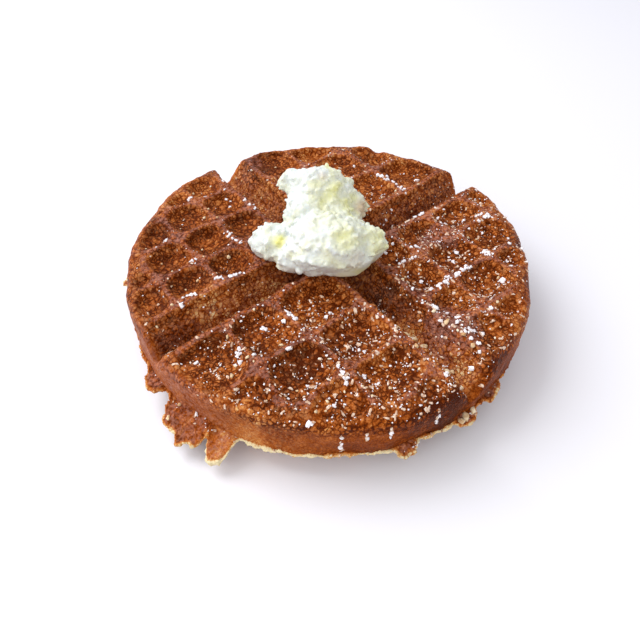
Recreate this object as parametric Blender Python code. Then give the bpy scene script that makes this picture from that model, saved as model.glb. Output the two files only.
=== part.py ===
# Round waffle with a scoop of whipped butter, in metres, +Z up.
# Origin: middle of the part's box, on the plane the lower ribs rest on.
# X and Y run along the two grooves that quarter the waffle.
import math

import bmesh
import bpy
from mathutils import Matrix, Vector

# waffle body
WAFFLE_HEIGHT = 0.033
WAIST_HEIGHT = 0.0120
WAIST_RADIUS = 0.0868
UPPER_RIM_RADIUS = 0.0862
LOWER_RIM_RADIUS = 0.0800
LOWER_RIM_ROUNDING = 0.0036
OUTLINE_STEPS = 120

# the upper rim slumps in a soft shoulder
SHOULDER_WIDTH = 0.0055
SHOULDER_DROP = 0.0045
SHOULDER_STEPS = 3

# unevenness of the outline, as shares of its radius, with the angle of each in degrees
OUTLINE_LEAN = (0.0090, 52.0)
OUTLINE_WAVE = (0.0047, 2.4)

# thin fin of batter left where the two iron plates met
FIN_REACH = 0.0010
FIN_THICKNESS = 0.0016

# overflow lobes on the fin: angle in degrees, reach, half width in degrees, droop at the tip
OVERFLOW = (
    (-168.0, 0.0065, 8.0, 0.0025),
    (-151.0, 0.0080, 3.6, 0.0040),
    (-111.0, 0.0030, 3.0, 0.0020),
    (-91.0, 0.0045, 4.0, 0.0020),
    (142.0, 0.0040, 2.6, 0.0010),
)

# the two grooves, cut from above and from below
GROOVE_FLOOR_HALF_WIDTH = 0.0014
UPPER_GROOVE_HALF_WIDTH = 0.0080
UPPER_GROOVE_DEPTH = 0.0130
LOWER_GROOVE_HALF_WIDTH = 0.0062
LOWER_GROOVE_DEPTH = 0.0075

# pockets, pressed from above and from below; a pocket cut short by the rim is smaller all over
UPPER_POCKET_DEPTH = 0.0052
LOWER_POCKET_DEPTH = 0.0054
UPPER_POCKET_TAPER = 0.0042
LOWER_POCKET_TAPER = 0.0030
UPPER_POCKET_REACH = 0.0832
LOWER_POCKET_REACH = 0.0765
POCKET_CORNER = 0.0048
SHORT_POCKET_SHARES = (1.0, 0.8, 0.62)
SMALLEST_CORE = 0.0008
RIB_WIDTH = 0.0018
EDGE_RIB_WIDTH = 0.0026
CUTTER_OVERSHOOT = 0.0006

# rib centre lines of each quarter, measured from the groove crossing: along X, along Y
QUARTER_RIBS = {
    (1, 1): ((0.031, 0.055), (0.034, 0.057)),
    (-1, 1): ((0.028, 0.048, 0.067), (0.027, 0.046, 0.065)),
    (-1, -1): ((0.036, 0.059), (0.034, 0.055, 0.074)),
    (1, -1): ((0.028, 0.050, 0.072), (0.028, 0.047, 0.065)),
}

# scoop of butter: rounded lobes joined in one, flat where it lies on the rib tops
BUTTER_GAP = 0.0003
BUTTER_TURN = -38.0
BUTTER_LOBES = (
    ((-0.0068, -0.0095, 0.0430), (0.0172, 0.0150, 0.0120)),
    ((-0.0205, 0.0100, 0.0395), (0.0106, 0.0082, 0.0065)),
    ((-0.0208, -0.0020, 0.0385), (0.0060, 0.0060, 0.0053)),
    ((0.0071, 0.0140, 0.0490), (0.0142, 0.0105, 0.0120)),
    ((-0.0005, 0.0235, 0.0530), (0.0060, 0.0055, 0.0060)),
    ((0.0042, -0.0160, 0.0420), (0.0108, 0.0090, 0.0087)),
    ((0.0176, 0.0025, 0.0450), (0.0050, 0.0055, 0.0060)),
    ((-0.0032, 0.0108, 0.0455), (0.0092, 0.0090, 0.0105)),
    ((-0.0060, -0.0178, 0.0402), (0.0120, 0.0080, 0.0070)),
    ((0.0046, 0.0036, 0.0425), (0.0120, 0.0115, 0.0096)),
)
BUTTER_LUMP = 0.0007
BUTTER_LUMP_PITCH = 0.0085


def clear_scene():
    for ob in list(bpy.data.objects):
        bpy.data.objects.remove(ob, do_unlink=True)


def material(name, colour, roughness):
    mat = bpy.data.materials.new(name)
    mat.use_nodes = True
    shader = mat.node_tree.nodes["Principled BSDF"]
    shader.inputs["Base Color"].default_value = (*colour, 1.0)
    shader.inputs["Roughness"].default_value = roughness
    return mat


def add_object(name, bm, cutter=False):
    bmesh.ops.recalc_face_normals(bm, faces=bm.faces)
    mesh = bpy.data.meshes.new(name)
    bm.to_mesh(mesh)
    bm.free()
    ob = bpy.data.objects.new(name, mesh)
    bpy.context.scene.collection.objects.link(ob)
    if cutter:
        ob.hide_render = True
        ob.display_type = "WIRE"
    return ob


def apply_boolean(target, other, operation):
    mod = target.modifiers.new(operation.lower(), "BOOLEAN")
    mod.operation = operation
    mod.solver = "EXACT"
    mod.object = other
    bpy.context.view_layer.objects.active = target
    target.select_set(True)
    bpy.ops.object.modifier_apply(modifier=mod.name)
    bpy.data.objects.remove(other, do_unlink=True)


# ---- outline of the body, with its fin ----

def overflow_at(angle):
    reach = 0.0
    droop = 0.0
    for centre, length, half_width, drop in OVERFLOW:
        off = (math.degrees(angle) - centre + 180.0) % 360.0 - 180.0
        share = math.exp(-((off / half_width) ** 4))
        reach += length * share
        droop += drop * share
    return reach, droop


def profile(angle):
    """Radius and height of every ring at one angle, from the lower rim to the upper one."""
    lean = OUTLINE_LEAN[0] * math.cos(angle - math.radians(OUTLINE_LEAN[1]))
    wave = OUTLINE_WAVE[0] * math.cos(3.0 * (angle - math.radians(OUTLINE_WAVE[1])))
    scale = 1.0 + lean + wave
    lower = LOWER_RIM_RADIUS * scale
    upper = UPPER_RIM_RADIUS * scale
    waist = WAIST_RADIUS * scale
    reach, droop = overflow_at(angle)
    fin = waist + FIN_REACH + reach
    half_fin = FIN_THICKNESS / 2.0
    tip_height = WAIST_HEIGHT - droop
    rings = [
        (lower - LOWER_RIM_ROUNDING, 0.0),
        (lower - 0.3 * LOWER_RIM_ROUNDING, 0.3 * LOWER_RIM_ROUNDING),
        (lower + 0.3 * LOWER_RIM_ROUNDING, LOWER_RIM_ROUNDING),
        (waist, WAIST_HEIGHT - half_fin),
        (fin, tip_height - 0.6 * half_fin),
        (fin, tip_height + 0.6 * half_fin),
        (waist, WAIST_HEIGHT + half_fin),
    ]
    for step in range(SHOULDER_STEPS + 1):
        turn = math.pi / 2.0 * step / SHOULDER_STEPS
        inset = SHOULDER_WIDTH * (1.0 - math.cos(turn))
        drop = SHOULDER_DROP * (1.0 - math.sin(turn))
        rings.append((upper - inset, WAFFLE_HEIGHT - drop))
    return rings


def waffle_blank():
    bm = bmesh.new()
    columns = []
    for step in range(OUTLINE_STEPS):
        angle = 2.0 * math.pi * step / OUTLINE_STEPS
        across = math.cos(angle)
        along = math.sin(angle)
        columns.append([bm.verts.new((r * across, r * along, z)) for r, z in profile(angle)])
    rings = len(columns[0])
    for step in range(OUTLINE_STEPS):
        here = columns[step]
        there = columns[(step + 1) % OUTLINE_STEPS]
        for ring in range(rings - 1):
            bm.faces.new((here[ring], there[ring], there[ring + 1], here[ring + 1]))
    bm.faces.new([column[0] for column in reversed(columns)])
    bm.faces.new([column[-1] for column in columns])
    return add_object("waffle", bm)


# ---- grooves ----

def groove_pair(name, along_x):
    """One groove above and one below, as two prisms longer than the waffle."""
    bm = bmesh.new()
    half_length = 1.3 * WAIST_RADIUS
    grooves = (
        (1.0, WAFFLE_HEIGHT, UPPER_GROOVE_HALF_WIDTH, UPPER_GROOVE_DEPTH),
        (-1.0, 0.0, LOWER_GROOVE_HALF_WIDTH, LOWER_GROOVE_DEPTH),
    )
    for side, face_z, half_width, depth in grooves:
        slope = (half_width - GROOVE_FLOOR_HALF_WIDTH) / depth
        mouth = half_width + slope * CUTTER_OVERSHOOT
        section = [
            (-mouth, face_z + side * CUTTER_OVERSHOOT),
            (mouth, face_z + side * CUTTER_OVERSHOOT),
            (GROOVE_FLOOR_HALF_WIDTH, face_z - side * depth),
            (-GROOVE_FLOOR_HALF_WIDTH, face_z - side * depth),
        ]
        ends = []
        for end in (-half_length, half_length):
            if along_x:
                ends.append([bm.verts.new((end, across, z)) for across, z in section])
            else:
                ends.append([bm.verts.new((across, end, z)) for across, z in section])
        bridge_outlines(bm, ends)
    return add_object(name, bm, cutter=True)


def bridge_outlines(bm, outlines):
    """Closed body through outlines that have the same number of points."""
    count = len(outlines[0])
    for lower, upper in zip(outlines, outlines[1:]):
        for i in range(count):
            j = (i + 1) % count
            bm.faces.new((lower[i], lower[j], upper[j], upper[i]))
    bm.faces.new(list(reversed(outlines[0])))
    bm.faces.new(outlines[-1])


# ---- pockets ----

def clip_to_circle(outline, radius, sides=72):
    """Part of a convex outline that lies inside a circle about the groove crossing."""
    for side in range(sides):
        angle = 2.0 * math.pi * (side + 0.5) / sides
        normal = Vector((math.cos(angle), math.sin(angle)))
        inside = []
        for i, point in enumerate(outline):
            previous = outline[i - 1]
            here = radius - point.dot(normal)
            before = radius - previous.dot(normal)
            if (here >= 0.0) != (before >= 0.0):
                inside.append(previous.lerp(point, before / (before - here)))
            if here >= 0.0:
                inside.append(point)
        outline = inside
        if len(outline) < 3:
            return []
    return outline


def simplify(outline, spacing):
    """Drop points closer together than the spacing."""
    kept = []
    for point in outline:
        if not kept or (point - kept[-1]).length > spacing:
            kept.append(point)
    while len(kept) > 3 and (kept[0] - kept[-1]).length <= spacing:
        kept.pop()
    return kept


def offset_inward(outline, distance):
    """Convex outline moved inward by one distance on every side."""
    result = list(outline)
    count = len(outline)
    for i in range(count):
        start = outline[i]
        edge = (outline[(i + 1) % count] - start).normalized()
        normal = Vector((-edge.y, edge.x))
        limit = start.dot(normal) + distance
        kept = []
        for k, point in enumerate(result):
            previous = result[k - 1]
            here = point.dot(normal) - limit
            before = previous.dot(normal) - limit
            if (here >= 0.0) != (before >= 0.0):
                kept.append(previous.lerp(point, before / (before - here)))
            if here >= 0.0:
                kept.append(point)
        result = kept
        if len(result) < 3:
            return []
    return result


def rounded(core, radius):
    """Outline at one distance outside a convex core, its corners turned in short chords."""
    points = []
    count = len(core)
    for i in range(count):
        before = (core[i] - core[i - 1]).normalized()
        after = (core[(i + 1) % count] - core[i]).normalized()
        start = math.atan2(-before.x, before.y)
        turn = math.atan2(before.x * after.y - before.y * after.x, before.dot(after))
        chords = 0 if turn < math.radians(20.0) else max(1, round(turn / math.radians(45.0)))
        for k in range(chords + 1):
            angle = start + turn * (0.5 if chords == 0 else k / chords)
            points.append(core[i] + Vector((math.cos(angle), math.sin(angle))) * radius)
    return points


def pocket_core(low_x, high_x, low_y, high_y, reach):
    """Inner outline that a pocket's rounded outline is drawn around, and its share of full size."""
    corners = [
        Vector((low_x, low_y)),
        Vector((high_x, low_y)),
        Vector((high_x, high_y)),
        Vector((low_x, high_y)),
    ]
    outline = simplify(clip_to_circle(corners, reach), 0.0006)
    for share in SHORT_POCKET_SHARES:
        if len(outline) < 3:
            break
        core = simplify(offset_inward(outline, share * POCKET_CORNER), SMALLEST_CORE)
        if len(core) >= 3 and area(core) > SMALLEST_CORE ** 2:
            return core, share
    return [], 0.0


def area(outline):
    return 0.5 * sum(
        outline[i - 1].x * point.y - point.x * outline[i - 1].y for i, point in enumerate(outline)
    )


def spans(ribs, reach):
    """Clear stretches between the ribs, from the groove's edge rib out to the rim."""
    starts = [UPPER_GROOVE_HALF_WIDTH + EDGE_RIB_WIDTH] + [rib + RIB_WIDTH / 2.0 for rib in ribs]
    ends = [rib - RIB_WIDTH / 2.0 for rib in ribs] + [reach]
    return list(zip(starts, ends))


def pocket_cutters():
    """One tapered peg for every pocket, above and below."""
    bm = bmesh.new()
    faces = (
        (1.0, WAFFLE_HEIGHT, UPPER_POCKET_DEPTH, UPPER_POCKET_TAPER, UPPER_POCKET_REACH),
        (-1.0, 0.0, LOWER_POCKET_DEPTH, LOWER_POCKET_TAPER, LOWER_POCKET_REACH),
    )
    for side, face_z, depth, taper, reach in faces:
        for (sign_x, sign_y), (ribs_x, ribs_y) in QUARTER_RIBS.items():
            for low_x, high_x in spans(ribs_x, reach):
                for low_y, high_y in spans(ribs_y, reach):
                    core, share = pocket_core(low_x, high_x, low_y, high_y, reach)
                    if not core:
                        continue
                    core = [Vector((p.x * sign_x, p.y * sign_y)) for p in core]
                    if sign_x * sign_y < 0:
                        core.reverse()
                    mouth = share * POCKET_CORNER + CUTTER_OVERSHOOT * taper / depth
                    levels = (
                        (share * (POCKET_CORNER - taper), face_z - side * share * depth),
                        (mouth, face_z + side * CUTTER_OVERSHOOT),
                    )
                    outlines = []
                    for radius, z in levels:
                        outlines.append([bm.verts.new((p.x, p.y, z)) for p in rounded(core, radius)])
                    bridge_outlines(bm, outlines)
    return add_object("pocket_cutters", bm, cutter=True)


# ---- butter ----

def butter_lobe(name, centre, semi_axes):
    bm = bmesh.new()
    bmesh.ops.create_icosphere(bm, subdivisions=3, radius=1.0)
    place = Matrix.Translation(centre) @ Matrix.Rotation(math.radians(BUTTER_TURN), 4, "Z")
    for vert in bm.verts:
        outward = vert.co.normalized()
        point = place @ Vector([c * s for c, s in zip(vert.co, semi_axes)])
        wave = 2.0 * math.pi / BUTTER_LUMP_PITCH
        lump = math.sin(wave * point.x) * math.sin(wave * point.y + 1.3) + math.sin(wave * point.z + 0.6)
        vert.co = point + outward * (BUTTER_LUMP * lump)
    return add_object(name, bm)


def butter():
    lobes = []
    for number, (centre, semi_axes) in enumerate(BUTTER_LOBES):
        lobes.append(butter_lobe("butter_lobe_%d" % number, centre, semi_axes))
    scoop = lobes[0]
    for lobe in lobes[1:]:
        apply_boolean(scoop, lobe, "UNION")
    bm = bmesh.new()
    bm.from_mesh(scoop.data)
    everything = bm.verts[:] + bm.edges[:] + bm.faces[:]
    level = Vector((0.0, 0.0, WAFFLE_HEIGHT + BUTTER_GAP))
    cut = bmesh.ops.bisect_plane(
        bm, geom=everything, plane_co=level, plane_no=(0.0, 0.0, 1.0), clear_inner=True
    )
    rim = [item for item in cut["geom_cut"] if isinstance(item, bmesh.types.BMEdge)]
    bmesh.ops.contextual_create(bm, geom=rim)
    bmesh.ops.recalc_face_normals(bm, faces=bm.faces)
    bm.to_mesh(scoop.data)
    bm.free()
    scoop.name = "butter"
    return scoop


def shade(ob, sharp_angle):
    ob.data.shade_smooth()
    ob.data.set_sharp_from_angle(angle=math.radians(sharp_angle))


def centre_on_box(objects):
    """Move everything so that the middle of the common box is at X = Y = 0."""
    points = [vert.co for ob in objects for vert in ob.data.vertices]
    middle_x = (min(p.x for p in points) + max(p.x for p in points)) / 2.0
    middle_y = (min(p.y for p in points) + max(p.y for p in points)) / 2.0
    for ob in objects:
        ob.data.transform(Matrix.Translation((-middle_x, -middle_y, 0.0)))
    print("groove crossing at", round(-middle_x, 6), round(-middle_y, 6))


clear_scene()
waffle = waffle_blank()
apply_boolean(waffle, groove_pair("groove_x", True), "DIFFERENCE")
apply_boolean(waffle, groove_pair("groove_y", False), "DIFFERENCE")
apply_boolean(waffle, pocket_cutters(), "DIFFERENCE")
waffle.data.materials.append(material("waffle_crust", (0.36, 0.14, 0.045), 0.55))
shade(waffle, 25.0)
scoop = butter()
scoop.data.materials.append(material("whipped_butter", (0.92, 0.88, 0.74), 0.45))
shade(scoop, 60.0)
centre_on_box([waffle, scoop])
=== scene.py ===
import math
import random
from types import SimpleNamespace

import bpy
from mathutils import Matrix, Vector, noise
from mathutils.bvhtree import BVHTree


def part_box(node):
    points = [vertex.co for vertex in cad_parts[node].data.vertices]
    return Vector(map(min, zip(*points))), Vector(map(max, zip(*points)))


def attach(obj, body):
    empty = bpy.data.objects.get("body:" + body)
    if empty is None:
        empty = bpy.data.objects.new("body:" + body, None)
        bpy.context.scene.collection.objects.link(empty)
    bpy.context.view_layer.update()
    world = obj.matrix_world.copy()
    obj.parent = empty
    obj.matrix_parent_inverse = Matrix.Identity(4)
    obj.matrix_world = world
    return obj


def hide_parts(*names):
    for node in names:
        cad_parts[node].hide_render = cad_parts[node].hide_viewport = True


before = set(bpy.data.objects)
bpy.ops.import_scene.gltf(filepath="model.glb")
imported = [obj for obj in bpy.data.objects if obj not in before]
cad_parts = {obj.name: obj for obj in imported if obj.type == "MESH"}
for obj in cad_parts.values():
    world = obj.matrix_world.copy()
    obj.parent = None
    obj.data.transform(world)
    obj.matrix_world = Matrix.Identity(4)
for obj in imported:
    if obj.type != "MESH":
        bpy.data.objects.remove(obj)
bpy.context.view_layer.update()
mm = 0.001

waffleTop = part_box("waffle")[1].z           # height of the rib tops, read from the frame
crossing = Vector((1.7 * mm, 1.7 * mm, 0))  # where the two grooves cross
# the waffle is widest at its waist, where the two halves of the iron met
waistRadius = 86.8 * mm
waistHeight = 12 * mm

cameraSettings = {
    "turn": 37.7,             # degrees from the camera's right to the groove along X
    "aside": -3.7 * mm,
    "inFront": 170 * mm,      # ground distance in front of the crossing
    "height": 179 * mm,
    "tiltDown": 48.8,
    "roll": -0.6,
    "focalLength": 28.86,     # on a sensor 36 mm wide
}


def modelPoint(right, away, up=0.0):
    # right and away are as the camera sees them, from the groove crossing
    a = math.radians(cameraSettings["turn"])
    x = math.cos(a) * right + math.sin(a) * away
    y = -math.sin(a) * right + math.cos(a) * away
    return Vector((x, y, up)) + crossing


def viewPlace(point):
    # the other way round: right and away of a point of the model
    a = math.radians(cameraSettings["turn"])
    x, y = point.x - crossing.x, point.y - crossing.y
    return math.cos(a) * x - math.sin(a) * y, math.sin(a) * x + math.cos(a) * y


def smoothStep(low, high, value):
    t = min(1.0, max(0.0, (value - low) / (high - low)))
    return t * t * (3 - 2 * t)


def outlineScale(angle):
    # the waffle isn't quite round: a share of the radius, waves round the rim, and where a wave is highest
    scale = 1
    for share, waves, crest in ((0.009, 1, 52), (0.0047, 3, 2.4)):
        scale += share * math.cos(waves * (angle - math.radians(crest)))
    return scale


def deselectAll():
    bpy.ops.object.select_all(action="DESELECT")


def makeActive(piece):
    deselectAll()
    piece.select_set(True)
    bpy.context.view_layer.objects.active = piece


def applyModifier(piece, kind, **settings):
    makeActive(piece)
    modifier = piece.modifiers.new(kind.lower(), kind)
    for name, value in settings.items():
        setattr(modifier, name, value)
    bpy.ops.object.modifier_apply(modifier=modifier.name)


def mergedCopy(node, name):
    # the CAD mesh is loose triangles, so its copy is merged before use
    piece = bpy.data.objects.new(name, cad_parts[node].data.copy())
    bpy.context.scene.collection.objects.link(piece)
    piece.data.materials.clear()
    makeActive(piece)
    bpy.ops.object.mode_set(mode="EDIT")
    bpy.ops.mesh.select_all(action="SELECT")
    bpy.ops.mesh.remove_doubles(threshold=0.00001)
    bpy.ops.mesh.normals_make_consistent(inside=False)
    bpy.ops.object.mode_set(mode="OBJECT")
    return piece


def setAttributes(piece, **attributes):
    for name, values in attributes.items():
        layer = piece.data.attributes.new(name, "FLOAT", "POINT")
        layer.data.foreach_set("value", values)


def nearness(right, ahead, place, full, none):
    # places are right, away and radius in mm: 1 up to one share of the radius, and 0 from the other on
    placeRight, placeAway, radius = place
    near = math.hypot(right - placeRight * mm, ahead - placeAway * mm) / (radius * mm)
    return 0.0 if near >= none else 1 - smoothStep(full, none, near)


def surfaceTree(piece):
    mesh = piece.data
    return BVHTree.FromPolygons([v.co for v in mesh.vertices], [p.vertices for p in mesh.polygons])


def hexColour(code):
    channels = [int(code[i:i + 2], 16) / 255 for i in (1, 3, 5)]
    return tuple(c / 12.92 if c <= 0.04045 else ((c + 0.055) / 1.055) ** 2.4 for c in channels) + (1.0,)


def addNode(tree, kind, settings=None, links=None):
    node = tree.nodes.new(kind)
    for name, value in (settings or {}).items():
        if isinstance(name, int) or name in node.inputs:
            node.inputs[name].default_value = value
        else:
            setattr(node, name, value)
    for socket, source in (links or {}).items():
        tree.links.new(source, node.inputs[socket])
    return node


def splitTerms(terms):
    # sockets are linked, and everything else is a setting
    links = {name: term for name, term in terms.items() if isinstance(term, bpy.types.NodeSocket)}
    settings = {name: term for name, term in terms.items() if name not in links}
    return settings, links


def addMath(tree, operation, *terms, clamp=False):
    settings, links = splitTerms(dict(enumerate(terms)))
    settings.update(operation=operation, use_clamp=clamp)
    return addNode(tree, "ShaderNodeMath", settings, links).outputs[0]


def addMix(tree, kind, factor, first, second):
    # a mix node has a pair of inputs and an output for each kind of value
    socket, output = {"FLOAT": (2, 0), "VECTOR": (4, 1), "RGBA": (6, 2)}[kind]
    settings, links = splitTerms({0: factor, socket: first, socket + 1: second})
    settings["data_type"] = kind
    return addNode(tree, "ShaderNodeMix", settings, links).outputs[output]


def addRange(tree, value, fromMin, fromMax, toMin=0.0, toMax=1.0, kind="LINEAR"):
    settings = {"interpolation_type": kind, "From Min": fromMin, "From Max": fromMax,
                "To Min": toMin, "To Max": toMax}
    return addNode(tree, "ShaderNodeMapRange", settings, {"Value": value}).outputs[0]


def addNoise(tree, place, pitch, detail=2.0, roughness=0.5, distortion=0.0):
    settings = {"Scale": 1 / pitch, "Detail": detail, "Roughness": roughness, "Distortion": distortion}
    return addNode(tree, "ShaderNodeTexNoise", settings, {"Vector": place}).outputs["Fac"]


def addCells(tree, place, pitch, feature="F1"):
    return addNode(tree, "ShaderNodeTexVoronoi", {"feature": feature, "Scale": 1 / pitch}, {"Vector": place})


def addChannel(tree, colour, channel):
    return addNode(tree, "ShaderNodeSeparateColor", None, {"Color": colour}).outputs[channel]


def addAttribute(tree, name):
    return addNode(tree, "ShaderNodeAttribute", {"attribute_name": name}).outputs["Fac"]


def addRamp(tree, value, stops):
    node = addNode(tree, "ShaderNodeValToRGB", None, {"Fac": value})
    elements = node.color_ramp.elements
    while len(elements) < len(stops):
        elements.new(0.5)
    for element, (place, code) in zip(elements, stops):
        element.position = place
    for element, (place, code) in zip(elements, stops):
        element.color = hexColour(code)
    return node.outputs["Color"]


def addBump(tree, height, strength, distance):
    settings = {"Strength": strength, "Distance": distance}
    return addNode(tree, "ShaderNodeBump", settings, {"Height": height}).outputs[0]


def addSurface(tree, settings, links=None):
    shader = addNode(tree, "ShaderNodeBsdfPrincipled", settings, links)
    addNode(tree, "ShaderNodeOutputMaterial", None, {"Surface": shader.outputs[0]})


def newMaterial(name):
    material = bpy.data.materials.new(name)
    material.use_nodes = True
    material.node_tree.nodes.clear()
    return material, material.node_tree


def objectPlace(tree):
    # patterns are set out in the object's own metres
    return addNode(tree, "ShaderNodeTexCoord").outputs["Object"]


crustSettings = {
    "largeBubbles": 2.4 * mm,    # steam bubbles set in the crust
    "smallBubbles": 1.5 * mm,
    "burstBubbles": 2.6 * mm,    # open ones, seen as dark specks
    "closedShare": 0.55,         # share of them that stayed closed
    "patchPitch": 8 * mm,        # patches of large and of small bubbles
    "widthPitch": 3.2 * mm,      # where the gaps between bubbles are wide or closed
    "warpPitch": 1.6 * mm,
    "warp": 0.0013,              # how strongly the bubbles' outlines are bent
    "mottlePitch": 9.0 * mm,
    "bakePitch": 24.0 * mm,      # golden and dark regions where the iron was cooler or hotter
    "grainPitch": 0.7 * mm,
    "filmPitch": 1.6 * mm,
    # what each part adds to the browning, from 0 for pale to 1 for nearly black
    "bubbleTone": -0.24,
    "bubbleSpread": 0.26,        # how much one bubble differs from the next
    "gapTone": 0.38,
    "speckTone": 0.34,
    "mottleTone": 0.55,
    "bakeTone": 0.5,
    "middle": -0.525,            # takes out the mean of the last two
    "browning": [(0.0, "#E8D9AE"), (0.12, "#D8AB6C"), (0.26, "#C88041"), (0.42, "#AF5F25"),
                 (0.58, "#934610"), (0.76, "#743004"), (1.0, "#4A1700")],
    # melted sugar: tan where it is thin; the pinkish end is a painted sheen, window light reflected off thick
    # glossy sugar
    "film": [(0.55, "#BE9A70"), (0.75, "#B68373")],
    "filmCover": 0.55,
}


def bubbleCells(tree, place, warped):
    # every bubble has its own tone, and the crust is dark in the gaps between them
    s = crustSettings
    tones, edges = [], []
    for pitch in (s["largeBubbles"], s["smallBubbles"]):
        tones.append(addChannel(tree, addCells(tree, warped, pitch).outputs["Color"], "Red"))
        edges.append(addCells(tree, warped, pitch, "DISTANCE_TO_EDGE").outputs["Distance"])
    # large bubbles in some patches, small ones in the rest
    choice = addRange(tree, addNoise(tree, place, s["patchPitch"], 1.0), 0.44, 0.54)
    tone = addMix(tree, "FLOAT", choice, *tones)
    edge = addMix(tree, "FLOAT", choice, *edges)
    # the gaps are wide in some places and closed in others
    edge = addMath(tree, "MULTIPLY_ADD", addNoise(tree, place, s["widthPitch"]), 0.5, edge)
    return tone, addRange(tree, edge, 0.22, 0.50, 1.0, 0.0, "SMOOTHSTEP")


def burstSpecks(tree, warped):
    # a few bubbles burst and left dark specks
    s = crustSettings
    cells = addCells(tree, warped, s["burstBubbles"])
    chance = addChannel(tree, cells.outputs["Color"], "Green")
    picked = addMath(tree, "GREATER_THAN", chance, s["closedShare"])
    specks = addRange(tree, cells.outputs["Distance"], 0.10, 0.30, s["speckTone"], 0.0, "SMOOTHSTEP")
    return addMath(tree, "MULTIPLY", specks, picked)


def filmCover(tree, place, film, gaps):
    # the film and its painted sheen break up into flecks, and where the film is thin it stays out of the gaps
    # between bubbles
    s = crustSettings
    cover = addRange(tree, addNoise(tree, place, s["filmPitch"], 4.0, 0.7), 0.42, 0.62, 0.0, s["filmCover"])
    cover = addMath(tree, "MULTIPLY", cover, film)
    thin = addRange(tree, film, 0.55, 0.75, 1.0, 0.0)
    kept = addMath(tree, "SUBTRACT", 1.0, addMath(tree, "MULTIPLY", thin, gaps))
    return addMath(tree, "MULTIPLY", cover, kept)


def bakedCrust():
    # batter browned against hot iron: a dry skin of burst bubbles, tan on each bubble and dark between
    # them, with a thin film of melted sugar on the rib tops and a painted pinkish sheen of window light on it
    s = crustSettings
    material, tree = newMaterial("bakedWaffleCrust")
    place = objectPlace(tree)
    bubbly = addAttribute(tree, "bubbly")
    film = addAttribute(tree, "film")
    warp = addNode(tree, "ShaderNodeTexNoise", {"Scale": 1 / s["warpPitch"]}, {"Vector": place})
    warped = addMix(tree, "VECTOR", s["warp"], place, warp.outputs["Color"])
    grain = addNoise(tree, place, s["grainPitch"], 3.0, 0.75)
    cellTone, gaps = bubbleCells(tree, place, warped)
    cells = addMath(tree, "MULTIPLY_ADD", cellTone, s["bubbleSpread"], s["bubbleTone"])
    cells = addMath(tree, "MULTIPLY_ADD", gaps, s["gapTone"], cells)
    cells = addMath(tree, "MULTIPLY", cells, bubbly)
    specks = addMath(tree, "MULTIPLY", burstSpecks(tree, warped), bubbly)
    # each part moves the browning up or down
    mottle = addNoise(tree, place, s["mottlePitch"], 5.0, 0.65)
    tone = addMath(tree, "MULTIPLY_ADD", mottle, s["mottleTone"], s["middle"])
    tone = addMath(tree, "ADD", tone, specks)
    tone = addMath(tree, "MULTIPLY_ADD", addNoise(tree, place, s["bakePitch"]), s["bakeTone"], tone)
    tone = addMath(tree, "ADD", tone, addAttribute(tree, "browning"))
    tone = addMath(tree, "ADD", tone, cells)
    tone = addMath(tree, "ADD", tone, addMath(tree, "SUBTRACT", grain, 0.5), clamp=True)
    # the browned crust mixed with melted sugar and its painted pinkish sheen
    colour = addMix(tree, "RGBA", filmCover(tree, place, film, gaps), addRamp(tree, tone, s["browning"]),
                    addRamp(tree, film, s["film"]))
    # relief: bubbles stand up and the gaps between them sink
    height = addMath(tree, "MULTIPLY_ADD", addMath(tree, "MULTIPLY", gaps, bubbly), -0.9, grain)
    addSurface(tree, {"IOR": 1.45, "Specular IOR Level": 0.2, "Specular Tint": hexColour("#D8A070")},
               {"Base Color": colour, "Roughness": addRange(tree, grain, 0.0, 1.0, 0.30, 0.60),
                "Normal": addBump(tree, height, 0.8, 0.5 * mm)})
    return material


def whippedButter():
    # butter beaten with air: pale, soft and slightly waxy, with yellow streaks where it is less aerated
    material, tree = newMaterial("whippedButter")
    place = objectPlace(tree)
    streaks = addNoise(tree, place, 9 * mm, 3.0, distortion=0.6)
    # real yellow streaks and spots, and a painted warm shade on the right
    tone = addMath(tree, "ADD", streaks, addAttribute(tree, "yellow"), clamp=True)
    colour = addRamp(tree, tone, [(0.0, "#D7DDDA"), (0.50, "#D7DDD6"), (0.68, "#D8DBC1"), (0.86, "#D9DAA3"),
                                  (1.0, "#D9D784")])
    # painted shade: warm greyish brown where the butter lies in shade and in light bounced from the crust
    colour = addMix(tree, "RGBA", addAttribute(tree, "dull"), colour, hexColour("#B8997A"))
    folds = addNoise(tree, place, 2.6 * mm, 4.0, 0.65)
    height = addMath(tree, "MULTIPLY_ADD", folds, 2.0, addNoise(tree, place, 0.8 * mm, 3.0))
    addSurface(tree, {"IOR": 1.46, "Roughness": 0.42, "Subsurface Weight": 0.3,
                      "Subsurface Radius": (1.0, 0.85, 0.6), "Subsurface Scale": 1.6 * mm},
               {"Base Color": colour, "Normal": addBump(tree, height, 0.5, 0.5 * mm)})
    return material


def whiteSugar():
    # pressed sugar grains that scatter light, so they look white with a faint cool shade
    material, tree = newMaterial("whiteSugar")
    grain = addCells(tree, objectPlace(tree), 0.45 * mm).outputs["Distance"]
    colour = addRamp(tree, grain, [(0.0, "#FBF9F8"), (0.6, "#F0ECEE"), (1.0, "#DEDAE2")])
    addSurface(tree, {"IOR": 1.54, "Roughness": 0.3, "Subsurface Weight": 0.2,
                      "Subsurface Radius": (1.0, 1.0, 1.0), "Subsurface Scale": 0.6 * mm},
               {"Base Color": colour, "Normal": addBump(tree, grain, 0.4, 0.15 * mm)})
    return material


def meltedSugar():
    # sugar that took up moisture and steam from the hot crust: a thin pinkish glaze, part white, part clear
    material, tree = newMaterial("meltedSugar")
    mottle = addNoise(tree, objectPlace(tree), 1.1 * mm)
    colour = addRamp(tree, mottle, [(0.32, "#B78E70"), (0.5, "#D3B498"), (0.68, "#EBDCCB")])
    addSurface(tree, {"IOR": 1.5, "Roughness": 0.25}, {"Base Color": colour})
    return material


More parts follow.
